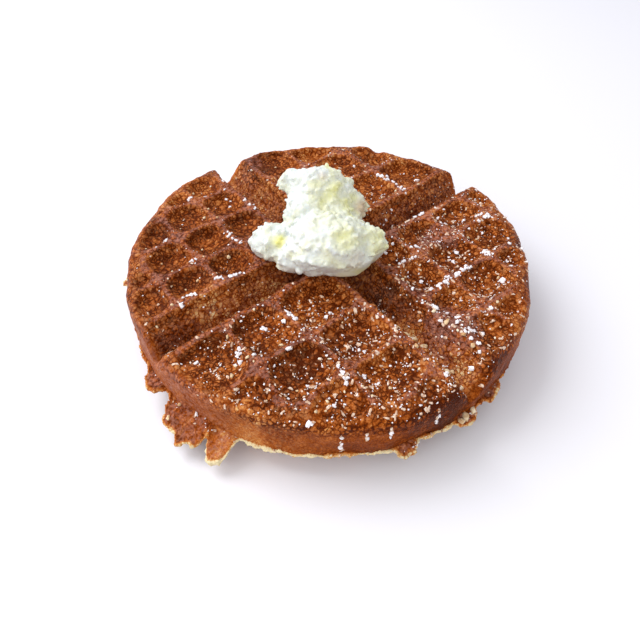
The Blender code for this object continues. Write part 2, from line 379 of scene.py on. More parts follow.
def toastedCrumb():
    # bits of batter that baked loose: open, sandy and pale gold, browner on one side
    material, tree = newMaterial("toastedBatterCrumb")
    mottle = addNoise(tree, objectPlace(tree), 1.8 * mm, 3.0)
    colour = addRamp(tree, mottle, [(0.3, "#EFE3C8"), (0.5, "#DCC39A"), (0.72, "#B9854F")])
    addSurface(tree, {"IOR": 1.45, "Roughness": 0.7},
               {"Base Color": colour, "Normal": addBump(tree, mottle, 0.6, 0.3 * mm)})
    return material


waffleSettings = {
    "voxel": 0.82 * mm,
    "softening": 8,             # passes that round the edges of ribs and pockets
    # distances from the crossing, over which one part of the waffle passes into the next
    "faceEdge": (80 * mm, 83 * mm),        # where the pockets end
    "wallEdge": (82.5 * mm, 84.5 * mm),    # where the outer wall begins
    "grooveEdge": (8 * mm, 10 * mm),       # from the middle of a groove to its side
    "frontEdge": (-70 * mm, -30 * mm),     # where the front part ends, as the camera sees it
    "pocketDepth": (0.8 * mm, 3.2 * mm),   # how deep a point lies inside a pocket
    "hollow": 0.4 * mm,         # how far the pocket walls sink between the ribs
    "fill": 1.3 * mm,           # how much shallower the pockets bake than the iron's teeth
    "slump": 3.6 * mm,          # how much lower the top lies at the front rim
    # where the rim bulges: angle round the crossing, half width in degrees, reach in mm
    "bulges": [(104, 9, 1.6), (-12, 8, 0.8)],
    # where batter was missing at the rim: right and away from the crossing, radius, depth, all in mm
    "dents": [(26, 77, 7, 3.0), (44, 70, 24, 1.6)],
    "wander": 1.8 * mm,         # how far the ribs stray from straight lines
    "wanderSeed": 284,          # without it the ribs would stray another way at each run
    "wanderPitch": 19 * mm,
    "wave": 1.1 * mm,           # how much the top rises and falls
    "wavePitch": 26 * mm,
    "bubblePitch": 2.7 * mm,
    "bubbleHeight": 0.30 * mm,
    "patchPitch": 13 * mm,      # patches with more and with fewer bubbles
    "blisterPitch": 7.0 * mm,   # a few bubbles that rose and did not burst
    "blisterHeight": 0.9 * mm,
    "pitPitch": 6.0 * mm,
    "pitDepth": 1.2 * mm,
    "rough": 0.45 * mm,
    "roughPitch": 5 * mm,
    # browning from 0 for pale to 1 for nearly black: the middle, and what each part adds to it; groove and
    # back are painted light, rightWall is painted shade
    "tones": {
        "middle": 0.615, "pocket": 0.05, "wall": -0.01, "groove": -0.10, "back": -0.09, "rightWall": 0.37,
        "shoulder": 0.06, "wallMottle": 0.07, "bubble": -0.10, "pit": 0.25, "blister": -0.16, "mottle": 0.14,
    },
    "mottlePitch": 17 * mm,
    "wallMottlePitch": 3.5 * mm,
    # where it is browner or paler, partly the crust's own golden and dark regions and partly painted light
    # and shade that lift places in shadow: right and away from the crossing, radius in mm, shift
    "patches": [
        (-34, 44, 9, -0.06), (-24, -18, 7, -0.20), (32, -44, 9, -0.24), (44, -58, 8, -0.22),
        (52, -68, 6, -0.20), (22, -36, 7, -0.20), (-14, -24, 7, -0.12), (-30, -77, 3.5, -0.24),
        (-25, -79, 3.5, -0.24), (18.6, -58.6, 4, -0.22), (-46, -63, 6, -0.10), (4, -70, 5, -0.16),
        (-15, -61, 8, 0.28), (-46, -33, 13, -0.24), (48, 36, 10, 0.06), (-32, 69, 10, 0.26),
        (-64, 12, 14, 0.04), (-60, 28, 8, 0.03), (-32, -42, 6, 0.06), (8, -49, 7, 0.10), (-5, -32, 8, -0.05),
    ],
    # how plainly its bubbles show
    "bubbly": {
        "middle": 0.85, "pocket": 0.10, "patch": 0.35, "shoulder": 0.5, "wall": -0.68, "rightWall": 0.5,
    },
    "haze": 0.54,               # melted sugar spread thin over the whole top
    "grooveHaze": 0.15,
    # painted sheen: the left front wall takes the pinkish film colour, as if it reflected the window light
    "wallHaze": 0.75,
    # where melted sugar lies thick, painted pinkish as its sheen of window light: right and away, radius in
    # mm, amount
    "filmAndSheenSpots": [(-38, 70, 8, 0.9), (50, 8, 12, 1.4), (47, -43, 16, 1.3)],
}


def crustSpot(p):
    # where a point lies on the waffle: shares from 0 to 1, and lengths
    s = waffleSettings
    q = p - crossing
    spot = SimpleNamespace()
    spot.right, spot.ahead = viewPlace(p)
    spot.angle = math.atan2(q.y, q.x)
    spot.r = math.hypot(q.x, q.y) / outlineScale(spot.angle)
    spot.upper = p.z > waistHeight
    spot.depth = waffleTop - p.z if spot.upper else p.z
    spot.inFace = 1 - smoothStep(*s["faceEdge"], spot.r)
    spot.sunk = smoothStep(*s["pocketDepth"], spot.depth) * spot.inFace
    spot.wall = smoothStep(*s["wallEdge"], spot.r)
    spot.inGroove = 1 - smoothStep(*s["grooveEdge"], min(abs(q.x), abs(q.y)))
    spot.front = 1 - smoothStep(*s["frontEdge"], spot.ahead)
    return spot


def pickedCell(place, spread, least, full, none):
    # a few cells of a pattern, picked at random: 1 at the middle of each and 0 outside it
    distances, points = noise.voronoi(place)
    if noise.noise(points[0] * spread) <= least:
        return 0.0
    return 1 - smoothStep(full, none, distances[0])


def crustBubbles(p):
    s = waffleSettings
    return SimpleNamespace(
        patch=0.5 + 0.5 * noise.noise(p / s["patchPitch"]),
        dome=1 - smoothStep(0.05, 0.62, noise.voronoi(p / s["bubblePitch"])[0][0]),
        blister=pickedCell(p / s["blisterPitch"] + Vector((1, 4, 9)), 5.3, 0.12, 0.08, 0.34),
        pit=pickedCell(p / s["pitPitch"] + Vector((3, 7, 1)), 3.7, 0.16, 0.04, 0.20))


def crustHeight(p, n, spot, bubbles):
    # how far the point moves along its normal
    s = waffleSettings
    away = s["bubbleHeight"] * (bubbles.dome - 0.4) * (0.4 + bubbles.patch) * (1 - 0.8 * spot.wall)
    away += s["blisterHeight"] * bubbles.blister * (1 - spot.wall)
    away -= s["pitDepth"] * bubbles.pit * (1 - 0.7 * spot.wall)
    away += s["rough"] * noise.fractal(p / s["roughPitch"], 0.7, 2.1, 4)
    return away - s["hollow"] * spot.sunk * (1 - n.z * n.z)


def bakedPlace(p, moved, spot):
    # where the point ends up: ribs stray a little sideways and in height
    s = waffleSettings
    stray = noise.noise_vector(p / s["wanderPitch"])
    moved.x += stray.x * s["wander"]
    moved.y += stray.y * s["wander"]
    lift = smoothStep(0, waffleTop, p.z)
    if spot.upper:
        filled = smoothStep(1.6 * mm, 4.8 * mm, spot.depth)
        moved.z += s["fill"] * filled * spot.inFace * (1 - spot.inGroove)
    moved.z += lift * (s["wave"] * noise.noise(p / s["wavePitch"]) - 0.2 * mm)
    # at the front rim the ribs sank into the pockets
    onTop = smoothStep(waffleTop - 6 * mm, waffleTop - 1 * mm, p.z)
    share = lift * spot.wall + onTop * (1 - spot.wall)
    moved.z -= share * s["slump"] * spot.front * smoothStep(64 * mm, 87 * mm, spot.r)
    outward = (p - crossing).normalized()
    rim = smoothStep(60 * mm, 84 * mm, spot.r)
    for middle, halfWidth, reach in s["bulges"]:
        off = (math.degrees(spot.angle) - middle + 180) % 360 - 180
        share = math.exp(-(off / halfWidth) ** 2)
        moved += outward * (reach * mm) * share * rim * (1 if spot.upper else 0.3)
    for *place, fall in s["dents"]:
        moved.z -= lift * (fall * mm) * nearness(spot.right, spot.ahead, place, 0.3, 1.0)
    moved.z = max(moved.z, 0.0)
    return moved


def crustLook(p, n, spot, bubbles):
    # how brown and how bubbly the crust is at the point, and how much melted sugar and painted sheen lies on
    # it
    s = waffleSettings
    tones, marks = s["tones"], s["bubbly"]
    right, ahead, depth, wall, sunk = spot.right, spot.ahead, spot.depth, spot.wall, spot.sunk
    groove = smoothStep(1 * mm, 6 * mm, depth) * spot.inGroove
    # painted shade: the outer wall is made darker at its right front, where little light falls
    rightWall = smoothStep(5 * mm, 45 * mm, right) * (1 - smoothStep(-76 * mm, -52 * mm, ahead))
    # burst bubbles crowd on the front shoulder
    shoulder = smoothStep(1.2 * mm, 2.6 * mm, depth) * (1 - smoothStep(6 * mm, 8 * mm, depth)) * spot.upper
    shoulder *= spot.front * smoothStep(80 * mm, 82.5 * mm, spot.r) * smoothStep(-45 * mm, -20 * mm, right)

    tone = tones["middle"] + tones["pocket"] * sunk + tones["wall"] * wall
    # painted light: the grooves are made paler to lift the shade in them
    tone += tones["groove"] * groove * spot.upper
    # painted light: the back is made paler, as the side the window light falls on
    tone += tones["back"] * smoothStep(10 * mm, 50 * mm, ahead)
    # painted shade on the right front wall
    tone += tones["rightWall"] * wall * rightWall
    tone += tones["shoulder"] * shoulder
    tone += tones["wallMottle"] * wall * noise.noise(p / s["wallMottlePitch"])
    tone += (tones["bubble"] * (bubbles.dome - 0.5) * (1 - wall) + tones["pit"] * bubbles.pit
             + tones["blister"] * bubbles.blister * (1 - wall))
    tone += tones["mottle"] * noise.noise(p / s["mottlePitch"] + Vector((5, 5, 5)))
    for *place, shift in s["patches"]:
        tone += shift * nearness(right, ahead, place, 0.3, 1.6)

    bubbly = marks["middle"] + marks["pocket"] * sunk + marks["patch"] * bubbles.patch * spot.inFace
    bubbly = max(0.0, bubbly + marks["shoulder"] * shoulder)
    bubbly += marks["wall"] * wall * smoothStep(3 * mm, 6.5 * mm, depth)
    bubbly += marks["rightWall"] * wall * rightWall

    # melted sugar with its painted sheen: a painted highlight along the flat rib tops, a painted pinkish
    # sheen on the left front wall, and a haze of sugar over the top
    if not spot.upper:
        return tone, bubbly, 0.0
    film = smoothStep(0.86, 0.97, n.z) * (1 - smoothStep(1.2 * mm, 2.2 * mm, depth))
    film *= 1 - 0.5 * smoothStep(78 * mm, 81 * mm, spot.r)
    onWall = s["wallHaze"] * wall
    onWall *= 1 - smoothStep(-48 * mm, 0, ahead)
    onWall *= 1 - smoothStep(-50 * mm, 10 * mm, right)
    haze = s["haze"] * (1 - 0.5 * sunk * (1 - spot.inGroove)) + s["grooveHaze"] * groove
    film = max(film, onWall, (1 - wall) * haze)
    for *place, amount in s["filmAndSheenSpots"]:
        film = max(film, amount * nearness(right, ahead, place, 0.4, 1.0))
    return tone, bubbly, film


def shapeWaffle():
    s = waffleSettings
    piece = mergedCopy("waffle", "waffleCrust")
    for vert in piece.data.vertices:
        # the overflow is a piece of its own, so the crust ends at its waist, in an edge 1 mm thick
        q = vert.co - crossing
        edge = (waistRadius + 0.4 * mm) * outlineScale(math.atan2(q.y, q.x))
        beyond = math.hypot(q.x, q.y) / edge
        if beyond > 1:
            vert.co.x = crossing.x + q.x / beyond
            vert.co.y = crossing.y + q.y / beyond
            vert.co.z = waistHeight + (0.5 * mm if vert.co.z > waistHeight - 1 * mm else -0.5 * mm)
    applyModifier(piece, "REMESH", mode="VOXEL", voxel_size=s["voxel"])
    applyModifier(piece, "SMOOTH", factor=0.5, iterations=s["softening"])
    mesh = piece.data
    print("waffle remeshed:", len(mesh.vertices), "points")
    normals = [v.normal.copy() for v in mesh.vertices]
    looks = []
    noise.seed_set(s["wanderSeed"])
    for vert, normal in zip(mesh.vertices, normals):
        p = vert.co.copy()
        spot = crustSpot(p)
        bubbles = crustBubbles(p)
        vert.co = bakedPlace(p, p + normal * crustHeight(p, normal, spot, bubbles), spot)
        looks.append(crustLook(p, normal, spot, bubbles))
    browning, bubbly, film = zip(*looks)
    setAttributes(piece, browning=browning, bubbly=bubbly, film=film)
    mesh.shade_smooth()
    mesh.materials.append(bakedCrust())
    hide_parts("waffle")
    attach(piece, "root")
    return piece


waffle = shapeWaffle()
print("waffle shaped:", len(waffle.data.polygons), "faces")

# batter that ran out between the two halves of the iron
overflowSettings = {
    "steps": 540,               # points round the rim
    "rings": 7,
    "inside": 3 * mm,           # how far inside the rim the sheet begins
    "thickness": 1.5 * mm,
    "voxel": 0.55 * mm,
    "fin": 1.2 * mm,            # reach of the thin fin all the way round
    "pressed": (-48, 26),       # the fin is thinner on this side: angle and half width in degrees
    # angle round the crossing, half width in degrees, reach and drop of the tip in mm, paleness
    "lobes": [
        (-179.5, 3.8, 4.4, 2.0, 0.0), (-167.5, 4.2, 8.5, 4.0, 0.3), (-161.5, 3.2, 9.0, 5.0, 0.5),
        (-154.3, 3.0, 10.0, 5.5, 1.3), (-110, 2.6, 3.0, 2.5, 0.0), (-93, 3.0, 3.5, 2.0, 0.2),
        (-82, 3.4, 1.5, 1.0, 0.3), (141, 2.8, 6.5, 0.5, 0.4), (150, 1.5, 2.0, 1.0, 0.0),
    ],
    "creamy": (-153, -96),      # between these angles the fin baked pale
    "sag": 1.2 * mm,            # how much lower the pale part lies
    "rough": 0.9,               # in mm
    "roughPitch": 2.4 * mm,
    # browning: the middle, and what each part adds to it; lobe is painted shade
    "tones": {"middle": 0.62, "lobe": 0.08, "rim": -0.24, "lobeRim": -0.34, "pale": -0.36, "mottle": 0.2},
}


def overflowShape(angle):
    # how far the sheet reaches at an angle, how far it drops, how pale it is, and how much of a lobe
    s = overflowSettings
    degrees = math.degrees(angle)
    heading = Vector((math.cos(angle), math.sin(angle), 0))
    reach = s["fin"] * (0.8 + 0.9 * noise.noise(heading * 9))
    side, halfWidth = s["pressed"]
    reach *= 1 - 0.8 * math.exp(-((degrees - side) / halfWidth) ** 4)
    drop, pale, lobe = 0.0, 0.0, 0.0
    for middle, halfWidth, length, fall, paleness in s["lobes"]:
        off = (degrees - middle + 180) % 360 - 180
        share = math.exp(-abs(off / halfWidth) ** 4)
        reach += length * mm * share
        drop += fall * mm * share
        pale = max(pale, paleness * share)
        lobe = max(lobe, share)
    ragged = noise.noise(heading * 14) + 0.4 * noise.noise(heading * 40)
    reach += (0.25 + 1.3 * lobe) * mm * ragged
    start, end = s["creamy"]
    fin = smoothStep(start - 3, start + 3, degrees) * (1 - smoothStep(end - 3, end + 3, degrees))
    return max(0.2 * mm, reach), drop, max(pale, fin * (1 - lobe)), lobe


def shapeOverflow():
    s = overflowSettings
    radius = waistRadius - s["inside"]
    deselectAll()
    bpy.ops.mesh.primitive_circle_add(vertices=s["steps"], radius=radius,
                                      location=(crossing.x, crossing.y, waistHeight))
    piece = bpy.context.object
    piece.name = "batterOverflow"
    bpy.ops.object.mode_set(mode="EDIT")
    bpy.ops.mesh.select_all(action="SELECT")
    for ring in range(s["rings"]):
        bpy.ops.mesh.extrude_edges_move()
        grown = (radius + mm) / radius      # each ring is 1 mm wide
        bpy.ops.transform.resize(value=(grown, grown, 1))
        radius += mm
    bpy.ops.object.mode_set(mode="OBJECT")
    bpy.ops.object.transform_apply(location=True, rotation=False, scale=False)
    mesh = piece.data
    for vert in mesh.vertices:
        q = vert.co - crossing
        r = math.hypot(q.x, q.y)
        share = (r - waistRadius + 2 * mm) / ((s["rings"] - 1) * mm)
        if share < 0:
            continue
        angle = math.atan2(q.y, q.x)
        reach, drop, pale, lobe = overflowShape(angle)
        out = waistRadius * outlineScale(angle) - 1.0 * mm + (reach + 1.0 * mm) * share
        vert.co.x = crossing.x + math.cos(angle) * out
        vert.co.y = crossing.y + math.sin(angle) * out
        curl = noise.noise(vert.co / (5 * mm))
        vert.co.z = (waistHeight - drop * share ** 1.5 - s["sag"] * pale
                     + curl * mm * share * (0.3 + reach / (5 * mm)))
    applyModifier(piece, "SOLIDIFY", thickness=s["thickness"], offset=0)
    applyModifier(piece, "REMESH", mode="VOXEL", voxel_size=s["voxel"])
    applyModifier(piece, "SMOOTH", factor=0.5, iterations=2)
    normals = [v.normal.copy() for v in mesh.vertices]
    browning, bubbly, film = ([0.0] * len(normals) for k in range(3))
    tones = s["tones"]
    for i, vert in enumerate(mesh.vertices):
        p = vert.co.copy()
        q = p - crossing
        angle = math.atan2(q.y, q.x)
        reach, drop, pale, lobe = overflowShape(angle)
        r = math.hypot(q.x, q.y)
        edge = waistRadius * outlineScale(angle) + reach
        rim = smoothStep(edge - 1.6 * mm, edge - 0.1 * mm, r)
        vert.co = p + normals[i] * s["rough"] * mm * noise.fractal(p / s["roughPitch"], 0.7, 2.1, 3)
        vert.co.z = max(vert.co.z, 0.2 * mm)
        # painted shade: the lobes are made browner, as though they lay in shade
        browning[i] = (tones["middle"] + tones["lobe"] * lobe + (tones["rim"] + tones["lobeRim"] * lobe) * rim
                       + tones["pale"] * pale * (0.5 + 0.5 * rim))
        browning[i] += tones["mottle"] * noise.noise(p / (4 * mm))
        bubbly[i] = 0.8 * (1 - pale)
        # painted shade: the lobes are greyed with the film and sheen colour
        film[i] = 0.9 * lobe * (1 - 0.6 * rim)
    setAttributes(piece, browning=browning, bubbly=bubbly, film=film)
    mesh.shade_smooth()
    mesh.materials.append(waffle.data.materials[0])
    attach(piece, "root")
    return piece


overflow = shapeOverflow()
print("overflow shaped:", len(overflow.data.polygons), "faces")

butterSettings = {
    "voxel": 0.55 * mm,
    "folds": 1.0 * mm,          # height of the broad folds
    "foldPitch": 6.5 * mm,
    "lumps": 0.32 * mm,         # and of the small lumps on them
    "lumpPitch": 2.1 * mm,
    "crumbs": 700,              # small lumps torn up by the scoop
    "crumbSizes": (0.45 * mm, 1.2 * mm),
    "tuck": 2.6 * mm,           # how far the front lower edge is drawn in
    # yellow spots: right, away, up and radius in mm, strength
    "yellowSpots": [
        (-19, -10, 45, 5, 0.5), (-3, 6, 56, 11, 0.22), (6, 8, 54, 9, 0.15), (0, -3, 53, 7, 0.12),
        (6, -19, 53, 9, 0.10), (18, -15, 47, 9, 0.22),
    ],
    # painted shade: spots made greyish brown where the butter lies in shade and takes warm light bounced from
    # the crust, in the same way
    "dullSpots": [(15, 8, 47, 6, 0.7), (11, -23, 45, 6, 0.25), (-2, 12, 60, 3, 0.3)],
    "rightShadeYellow": 0.14,        # painted shade: it is made yellower on the right, away from the cool window light
    "dullFoot": 0.38,           # and painted with warm shade near its foot, where light bounces up from the crust
}


def addSpots(value, place, spots):
    right, ahead, height = place
    for spotRight, spotAway, up, radius, strength in spots:
        offset = (right - spotRight * mm) ** 2 + (ahead - spotAway * mm) ** 2 + (height - up * mm) ** 2
        value += strength * (1 - smoothStep(0.2, 1.0, math.sqrt(offset) / (radius * mm)))
    return value


def tearSurface(piece, low):
    # the scoop tore small lumps up all over, but it left a smooth underside at the right
    s = butterSettings
    rng = random.Random(11)
    spots = [(p.center.copy(), p.normal.copy()) for p in piece.data.polygons]
    bpy.ops.object.mode_set(mode="EDIT")
    for k in range(s["crumbs"]):
        spot, normal = rng.choice(spots)
        right, ahead = viewPlace(spot)
        if normal.z < -0.3 or spot.z < low + 2 * mm:
            continue
        if right > 2 * mm and ahead < -10 * mm and spot.z < low + 9 * mm:
            continue
        size = rng.uniform(*s["crumbSizes"])
        bpy.ops.mesh.select_all(action="DESELECT")
        turn = [rng.uniform(0, 3) for axis in range(3)]
        bpy.ops.mesh.primitive_ico_sphere_add(subdivisions=1, radius=size, rotation=turn,
                                              location=spot + normal * size * 0.4)
        bpy.ops.transform.resize(value=(rng.uniform(0.7, 1.4), rng.uniform(0.7, 1.4), rng.uniform(0.6, 1.1)))
    bpy.ops.object.mode_set(mode="OBJECT")


def shapeButter():
    s = butterSettings
    piece = mergedCopy("butter", "butterScoop")
    applyModifier(piece, "REMESH", mode="VOXEL", voxel_size=2 * mm)     # even faces to pick spots from
    low = min(v.co.z for v in piece.data.vertices)
    tearSurface(piece, low)
    applyModifier(piece, "REMESH", mode="VOXEL", voxel_size=s["voxel"])
    applyModifier(piece, "SMOOTH", factor=0.5, iterations=3)
    mesh = piece.data
    normals = [v.normal.copy() for v in mesh.vertices]
    yellow, dull = [0.0] * len(mesh.vertices), [0.0] * len(mesh.vertices)
    for i, vert in enumerate(mesh.vertices):
        p = vert.co.copy()
        right, ahead = viewPlace(p)
        smooth = smoothStep(0, 4 * mm, right) * (1 - smoothStep(-12 * mm, -8 * mm, ahead))
        smooth *= 1 - smoothStep(low + 7 * mm, low + 10 * mm, p.z)
        away = s["folds"] * noise.fractal(p / s["foldPitch"], 0.9, 2.1, 3)
        away += s["lumps"] * noise.fractal(p / s["lumpPitch"], 0.5, 2.1, 3)
        vert.co = p + normals[i] * away * (1 - 0.85 * smooth)
        # the front foot is drawn in, more at the right
        tuck = s["tuck"] * (1 - smoothStep(-20 * mm, -8 * mm, ahead))
        tuck *= 1 - smoothStep(low + 4 * mm, low + 14 * mm, p.z)
        tuck *= 0.1 + 0.9 * smoothStep(-14 * mm, 0, right)
        vert.co += modelPoint(0, tuck) - modelPoint(0, 0)
        place = (right, ahead, p.z)
        # yellow spots, and painted warm shade on the right side
        yellow[i] = addSpots(s["rightShadeYellow"] * smoothStep(-8 * mm, 10 * mm, right), place, s["yellowSpots"])
        # painted warm shade near the foot and in shaded spots
        foot = 1 - smoothStep(low + 1 * mm, low + 8 * mm, p.z)
        dull[i] = addSpots(s["dullFoot"] * foot, place, s["dullSpots"])
    setAttributes(piece, yellow=yellow, dull=dull)
    mesh.shade_smooth()
    mesh.materials.append(whippedButter())
    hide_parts("butter")
    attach(piece, "root")
    return piece


butter = shapeButter()
print("butter shaped:", len(butter.data.polygons), "faces")

sugarSettings = {
    "kinds": 8,
    # loose grains: how many, smallest and largest size
    "clumps": (230, 0.5 * mm, 1.45 * mm),
    "grains": (1400, 0.22 * mm, 0.6 * mm),
    "melted": (1400, 0.4 * mm, 1.4 * mm),
    "stretches": (0.8, 1.4),    # how long a loose grain is for its width
    # drifts along the ribs: from and to as right, away in mm, then width in mm and grains
    "drifts": [
        (41, -26, 59, -13, 1.5, 36), (69, 22, 74, 18, 2.2, 14), (66, -5, 70, -7, 1.8, 12),
        (71, -18, 75, -20, 1.6, 8), (48, -44, 56, -56, 2.8, 9), (39, -36, 43, -36, 1.2, 7),
        (36, 19, 46, 24, 1.8, 9), (27, 56, 38, 42, 2.0, 18), (30, -12, 37, -7, 1.2, 7),
        (-17, -37, -13, -41, 1.8, 12), (-34, -54, -32, -60, 1.3, 12), (2, -62, 6, -70, 1.6, 12),
        (-41, -18, -35, -15, 1.0, 8), (-73, 7, -70, 5, 1.6, 7), (-58, -30, -50, -27, 1.0, 7),
        (-37, -36, -34, -34, 1.0, 6), (-68, 35, -58, 41, 1.6, 6), (-58, -9, -55, -6, 1.2, 4),
        (-46, 10, -37, 4, 2.4, 8), (-47, -19, -43, -19, 1.0, 4), (-40, 35, -30, 26, 2.0, 7),
        (-51, 48, -44, 28, 1.8, 6),
    ],
    "driftSizes": (0.6, 1.25),  # in mm
    # where more or less of it fell: right, away and radius in mm, how much more
    "thick": [
        (40, -52, 16, 1.0), (50, 8, 10, 1.6), (47, -43, 9, 1.2), (22, -34, 8, 0.5), (-25, -48, 9, 0.3),
        (20, 38, 12, 0.4), (52, 41, 12, -0.5), (-15, -60, 7, -1.0), (8, -49, 7, -1.3),
    ],
    "thickest": 2.3,            # no place gets more than this
    "gatherPitch": 7 * mm,      # loose sugar lies in clusters about this far apart
    "steepest": 0.45,           # it slides off where the surface faces up less than this
    # sugar that ran down the front wall as it melted: right, top and bottom height in mm, grains
    "trickles": [(3, 24, 10, 16), (12, 25, 20, 7), (20, 25, 20, 6), (37, 26, 18, 8)],
    "trickleSizes": (0.6, 1.1),
    "smearSizes": (0.7, 1.4),
}


def takeShape():
    # the corners and sides of the lump just modelled, which is then removed
    bpy.ops.object.mode_set(mode="OBJECT")
    lump = bpy.context.object
    corners = [v.co.copy() for v in lump.data.vertices]
    sides = [tuple(p.vertices) for p in lump.data.polygons]
    bpy.data.objects.remove(lump, do_unlink=True)
    return corners, sides


def sugarLumps(cuts):
    # each kind is modelled once at a size of 1, then copied
    lumps = []
    for k in range(sugarSettings["kinds"]):
        deselectAll()
        bpy.ops.mesh.primitive_cube_add(size=1.0)
        bpy.ops.object.mode_set(mode="EDIT")
        if cuts:
            bpy.ops.mesh.subdivide(number_cuts=cuts)
            bpy.ops.transform.tosphere(value=0.65)
        bpy.ops.transform.vertex_random(offset=0.26, uniform=0.6, normal=0.3, seed=k + 1)
        lumps.append(takeShape())
    return lumps


def joinCopies(name, lumps, places, material):
    points, faces = [], []
    for k, matrix in enumerate(places):
        corners, sides = lumps[k % len(lumps)]
        start = len(points)
        points += [matrix @ c for c in corners]
        faces += [tuple(start + i for i in side) for side in sides]
    mesh = bpy.data.meshes.new(name)
    mesh.from_pydata(points, [], faces)
    mesh.update()
    mesh.materials.append(material)
    piece = bpy.data.objects.new(name, mesh)
    bpy.context.scene.collection.objects.link(piece)
    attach(piece, "root")
    return piece


waffleTree = surfaceTree(waffle)
overflowTree = surfaceTree(overflow)
butterTree = surfaceTree(butter)
down = Vector((0, 0, -1))


def dropPlace(point):
    # where something let fall at a point comes to rest, and which way the surface faces there
    start = Vector((point.x, point.y, 90 * mm))
    if butterTree.ray_cast(start, down)[0]:
        return None, None
    hit, normal = waffleTree.ray_cast(start, down)[:2]
    if not hit:
        hit, normal = overflowTree.ray_cast(start, down)[:2]
    return hit, normal


def restingMatrix(hit, normal, size, stretch, rng):
    # a lump sunk a little into the crust, and leaning less than the slope under it
    upright = normal.lerp(Vector((0, 0, 1)), 0.3).normalized()
    turn = upright.to_track_quat("Z", "Y").to_matrix().to_4x4()
    spin = Matrix.Rotation(rng.uniform(0, 2 * math.pi), 4, "Z")
    shape = Matrix.Diagonal((size * stretch, size * rng.uniform(0.7, 1.0), size * rng.uniform(0.55, 0.85), 1))
    return Matrix.Translation(hit + normal * size * 0.18) @ turn @ spin @ shape


def meltedMatrix(hit, normal, size, rng):
    # a thin smear that lies flat on the crust and runs down its slope
    turn = normal.to_track_quat("Z", "Y").to_matrix().to_4x4()
    spin = Matrix.Rotation(rng.uniform(0, 2 * math.pi), 4, "Z")
    shape = Matrix.Diagonal((size * rng.uniform(0.8, 1.4), size * rng.uniform(0.4, 0.8), 0.35 * mm, 1))
    return Matrix.Translation(hit + normal * 0.02 * mm) @ turn @ spin @ shape


def sugarDensity(right, ahead):
    # thickest on the front and right quarters, thin at the left and the back
    thick = 0.25 + 0.75 * smoothStep(-35 * mm, 10 * mm, right)
    thick *= 1 - 0.75 * smoothStep(5 * mm, 45 * mm, ahead - 0.5 * right)
    front = 1 - smoothStep(35 * mm, 60 * mm, abs(right + 5 * mm))
    thick += 0.75 * front * (1 - smoothStep(-45 * mm, -25 * mm, ahead))
    for placeRight, placeAway, radius, more in sugarSettings["thick"]:
        offset = (right - placeRight * mm) ** 2 + (ahead - placeAway * mm) ** 2
        thick += more * math.exp(-offset / (radius * mm) ** 2)
    return min(sugarSettings["thickest"], thick)


def driftPlaces(rng):
    s = sugarSettings
    places = []
    for fromRight, fromAway, toRight, toAway, width, grains in s["drifts"]:
        for k in range(grains):
            t = rng.random()
            right = (fromRight + (toRight - fromRight) * t + rng.gauss(0, width * 0.35)) * mm
            ahead = (fromAway + (toAway - fromAway) * t + rng.gauss(0, width * 0.35)) * mm
            hit, normal = dropPlace(modelPoint(right, ahead))
            if hit:
                size = rng.uniform(*s["driftSizes"]) * mm
                places.append(restingMatrix(hit, normal, size, rng.uniform(0.8, 1.5), rng))
    return places


def tricklePlaces(rng):
    # two grains in three have melted
    s = sugarSettings
    clumps, melted = [], []
    for side, top, bottom, grains in s["trickles"]:
        for k in range(grains):
            start = modelPoint((side + rng.gauss(0, 0.35)) * mm, -130 * mm, rng.uniform(bottom, top) * mm)
            hit, normal = waffleTree.ray_cast(start, modelPoint(side * mm, 0, start.z) - start)[:2]
            if hit and k % 3:
                melted.append(meltedMatrix(hit, normal, rng.uniform(*s["smearSizes"]) * mm, rng))
            elif hit:
                clumps.append(restingMatrix(hit, normal, rng.uniform(*s["trickleSizes"]) * mm, 1.0, rng))
    return clumps, melted


def loosePlaces(kind, rng):
    s = sugarSettings
    number, least, most = s[kind]
    places = []
    made = 0
    while made < number:
        r = waistRadius * 1.03 * math.sqrt(rng.random())
        angle = rng.uniform(0, 2 * math.pi)
        right, ahead = r * math.cos(angle), r * math.sin(angle)
        point = modelPoint(right, ahead)
        gather = 0.5 + 0.9 * noise.noise(point / s["gatherPitch"])
        if rng.random() > sugarDensity(right, ahead) * max(0.05, gather):
            continue
        hit, normal = dropPlace(point)
        made += 1
        if hit and normal.z > s["steepest"]:
            size = least + (most - least) * rng.random() ** 2
            if kind == "melted":
                places.append(meltedMatrix(hit, normal, size, rng))
            else:
                places.append(restingMatrix(hit, normal, size, rng.uniform(*s["stretches"]), rng))
    return places


def scatterSugar():
    rng = random.Random(5)
    clumps = driftPlaces(rng)
    trickled, melted = tricklePlaces(rng)
    clumps += trickled + loosePlaces("clumps", rng)
    grains = loosePlaces("grains", rng)
    melted += loosePlaces("melted", rng)
    material = whiteSugar()
    joinCopies("sugarClumps", sugarLumps(1), clumps, material)
    joinCopies("sugarGrains", sugarLumps(0), grains, material)
    joinCopies("meltedSugar", sugarLumps(1), melted, meltedSugar())
    print("sugar strewn:", len(clumps), "clumps,", len(grains), "grains,", len(melted), "melted flecks")


scatterSugar()

